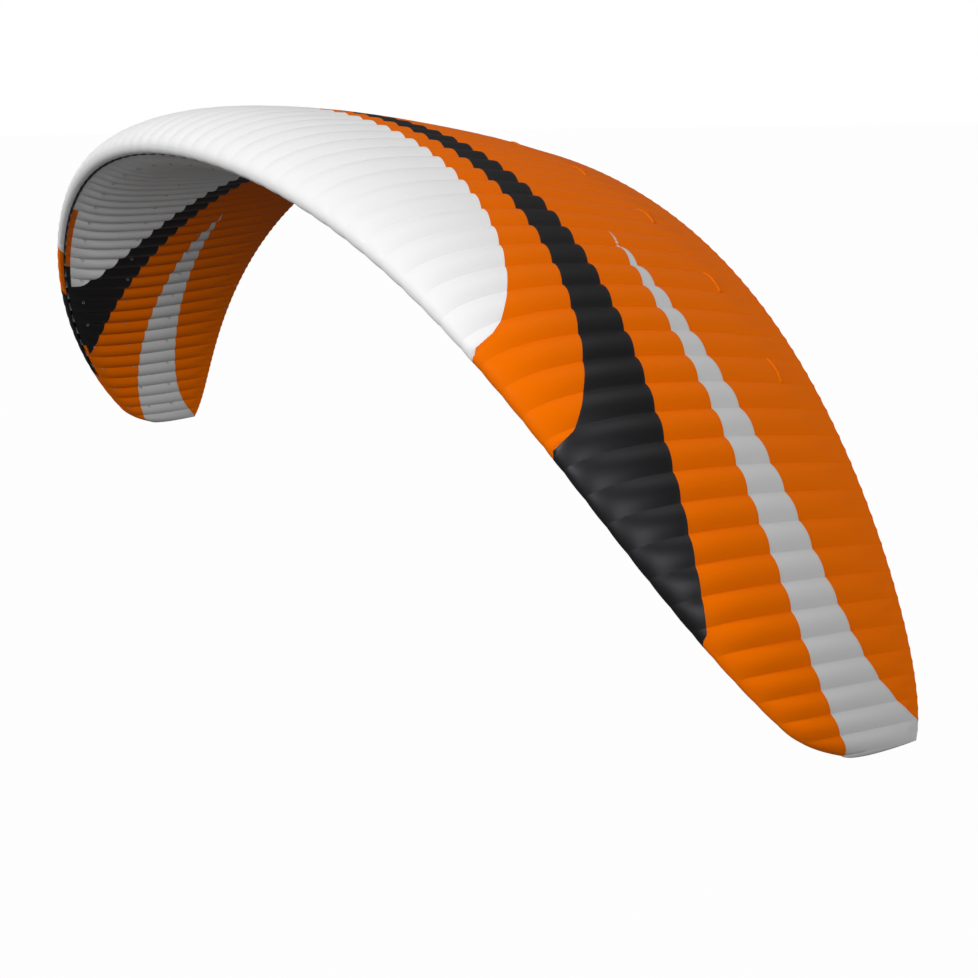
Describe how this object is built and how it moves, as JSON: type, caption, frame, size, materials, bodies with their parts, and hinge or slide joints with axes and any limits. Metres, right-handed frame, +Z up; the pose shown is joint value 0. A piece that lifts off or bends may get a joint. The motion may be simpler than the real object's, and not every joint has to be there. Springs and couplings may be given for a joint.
{
  "type": "ram-air kite canopy",
  "caption": "Arched ram-air kite wing with inflated cells, air intakes under a shark nose, sewn colour stripes, internal ribs and a trailing edge that brake lines pull down.",
  "frame": {"origin": "the A-row line loop under the centre rib", "axes": "+X along the span towards the right wing tip, -Y towards the leading edge (flight direction), +Y towards the trailing edge, +Z up"},
  "size_m": [9.156, 2.059, 2.6365],
  "materials": {
    "white_cloth": "coated ripstop cloth, satin",
    "orange_cloth": "coated ripstop cloth, satin",
    "black_cloth": "coated ripstop cloth, satin",
    "grey_cloth": "coated ripstop cloth, satin",
    "rib_cloth": "hard-coated white cloth",
    "tension_tape": "woven polyester tape",
    "loop_cord": "braided polyester cord",
    "plastic_rod": "extruded nylon"
  },
  "bodies": {
    "canopy": {"diagonal_ribs": "rib_cloth", "line_loops_a_row": "loop_cord", "line_loops_b_row": "loop_cord", "line_loops_c_row": "loop_cord", "loaded_ribs": "rib_cloth", "lower_panel_orange_middle_left": "orange_cloth", "lower_panel_orange_middle_right": "orange_cloth", "lower_panel_orange_rear_left": "orange_cloth", "lower_panel_orange_rear_right": "orange_cloth", "lower_panel_white": "white_cloth", "lower_stripe_black_left": "black_cloth", "lower_stripe_black_right": "black_cloth", "lower_stripe_grey_left": "grey_cloth", "lower_stripe_grey_right": "grey_cloth", "nose_rods": "plastic_rod", "nose_strip_black_left": "black_cloth", "nose_strip_black_right": "black_cloth", "nose_strip_orange_left": "orange_cloth", "nose_strip_orange_right": "orange_cloth", "nose_strip_tip_left": "orange_cloth", "nose_strip_tip_right": "orange_cloth", "nose_strip_white": "white_cloth", "tension_straps": "tension_tape", "tip_ribs": "rib_cloth", "unloaded_ribs": "rib_cloth", "upper_panel_orange_front_left": "orange_cloth", "upper_panel_orange_front_right": "orange_cloth", "upper_panel_orange_middle_left": "orange_cloth", "upper_panel_orange_middle_right": "orange_cloth", "upper_panel_orange_rear_left": "orange_cloth", "upper_panel_orange_rear_right": "orange_cloth", "upper_panel_white": "white_cloth", "upper_stripe_black_left": "black_cloth", "upper_stripe_black_right": "black_cloth", "upper_stripe_grey_left": "grey_cloth", "upper_stripe_grey_right": "grey_cloth"},
    "trailing_edge_left_1": {"brake_loops_left_1": "loop_cord", "flap_lower_skin_left_1": "orange_cloth", "flap_upper_skin_left_1": "orange_cloth", "mini_ribs_left_1": "rib_cloth"},
    "trailing_edge_left_2": {"brake_loops_left_2": "loop_cord", "flap_lower_skin_left_2": "orange_cloth", "flap_upper_skin_left_2": "orange_cloth", "mini_ribs_left_2": "rib_cloth"},
    "trailing_edge_left_3": {"brake_loops_left_3": "loop_cord", "flap_lower_skin_left_3": "orange_cloth", "flap_upper_skin_left_3": "orange_cloth", "mini_ribs_left_3": "rib_cloth"},
    "trailing_edge_right_1": {"brake_loops_right_1": "loop_cord", "flap_lower_skin_right_1": "orange_cloth", "flap_upper_skin_right_1": "orange_cloth", "mini_ribs_right_1": "rib_cloth"},
    "trailing_edge_right_2": {"brake_loops_right_2": "loop_cord", "flap_lower_skin_right_2": "orange_cloth", "flap_upper_skin_right_2": "orange_cloth", "mini_ribs_right_2": "rib_cloth"},
    "trailing_edge_right_3": {"brake_loops_right_3": "loop_cord", "flap_lower_skin_right_3": "orange_cloth", "flap_upper_skin_right_3": "orange_cloth", "mini_ribs_right_3": "rib_cloth"}
  },
  "joints": [
    {"name": "brake_left_1", "type": "hinge", "parent": "canopy", "child": "trailing_edge_left_1", "pos_m": [-1.33847, 1.44677, 0.03642], "axis": [-0.985, 0.0029, -0.1727], "range_deg": [0, 24], "stiffness_Nm_per_rad": 20, "springref_deg": -5.73},
    {"name": "brake_left_2", "type": "hinge", "parent": "canopy", "child": "trailing_edge_left_2", "pos_m": [-2.7399, 1.44086, -0.39456], "axis": [-0.9015, -0.0122, -0.4326], "range_deg": [0, 30], "stiffness_Nm_per_rad": 20, "springref_deg": -5.73},
    {"name": "brake_left_3", "type": "hinge", "parent": "canopy", "child": "trailing_edge_left_3", "pos_m": [-3.72688, 1.43304, -1.04899], "axis": [-0.7223, 0.0008, -0.6915], "range_deg": [0, 24], "stiffness_Nm_per_rad": 20, "springref_deg": -5.73},
    {"name": "brake_right_1", "type": "hinge", "parent": "canopy", "child": "trailing_edge_right_1", "pos_m": [1.33847, 1.44677, 0.03642], "axis": [-0.985, -0.0029, 0.1727], "range_deg": [0, 24], "stiffness_Nm_per_rad": 20, "springref_deg": -5.73},
    {"name": "brake_right_2", "type": "hinge", "parent": "canopy", "child": "trailing_edge_right_2", "pos_m": [2.7399, 1.44086, -0.39456], "axis": [-0.9015, 0.0122, 0.4326], "range_deg": [0, 30], "stiffness_Nm_per_rad": 20, "springref_deg": -5.73},
    {"name": "brake_right_3", "type": "hinge", "parent": "canopy", "child": "trailing_edge_right_3", "pos_m": [3.72688, 1.43304, -1.04899], "axis": [-0.7223, -0.0008, 0.6915], "range_deg": [0, 24], "stiffness_Nm_per_rad": 20, "springref_deg": -5.73}
  ],
  "couplings": [
    {"joint": "brake_left_1", "follows": "brake_left_2", "ratio": 0.8},
    {"joint": "brake_left_3", "follows": "brake_left_2", "ratio": 0.8},
    {"joint": "brake_right_1", "follows": "brake_right_2", "ratio": 0.8},
    {"joint": "brake_right_3", "follows": "brake_right_2", "ratio": 0.8}
  ]
}
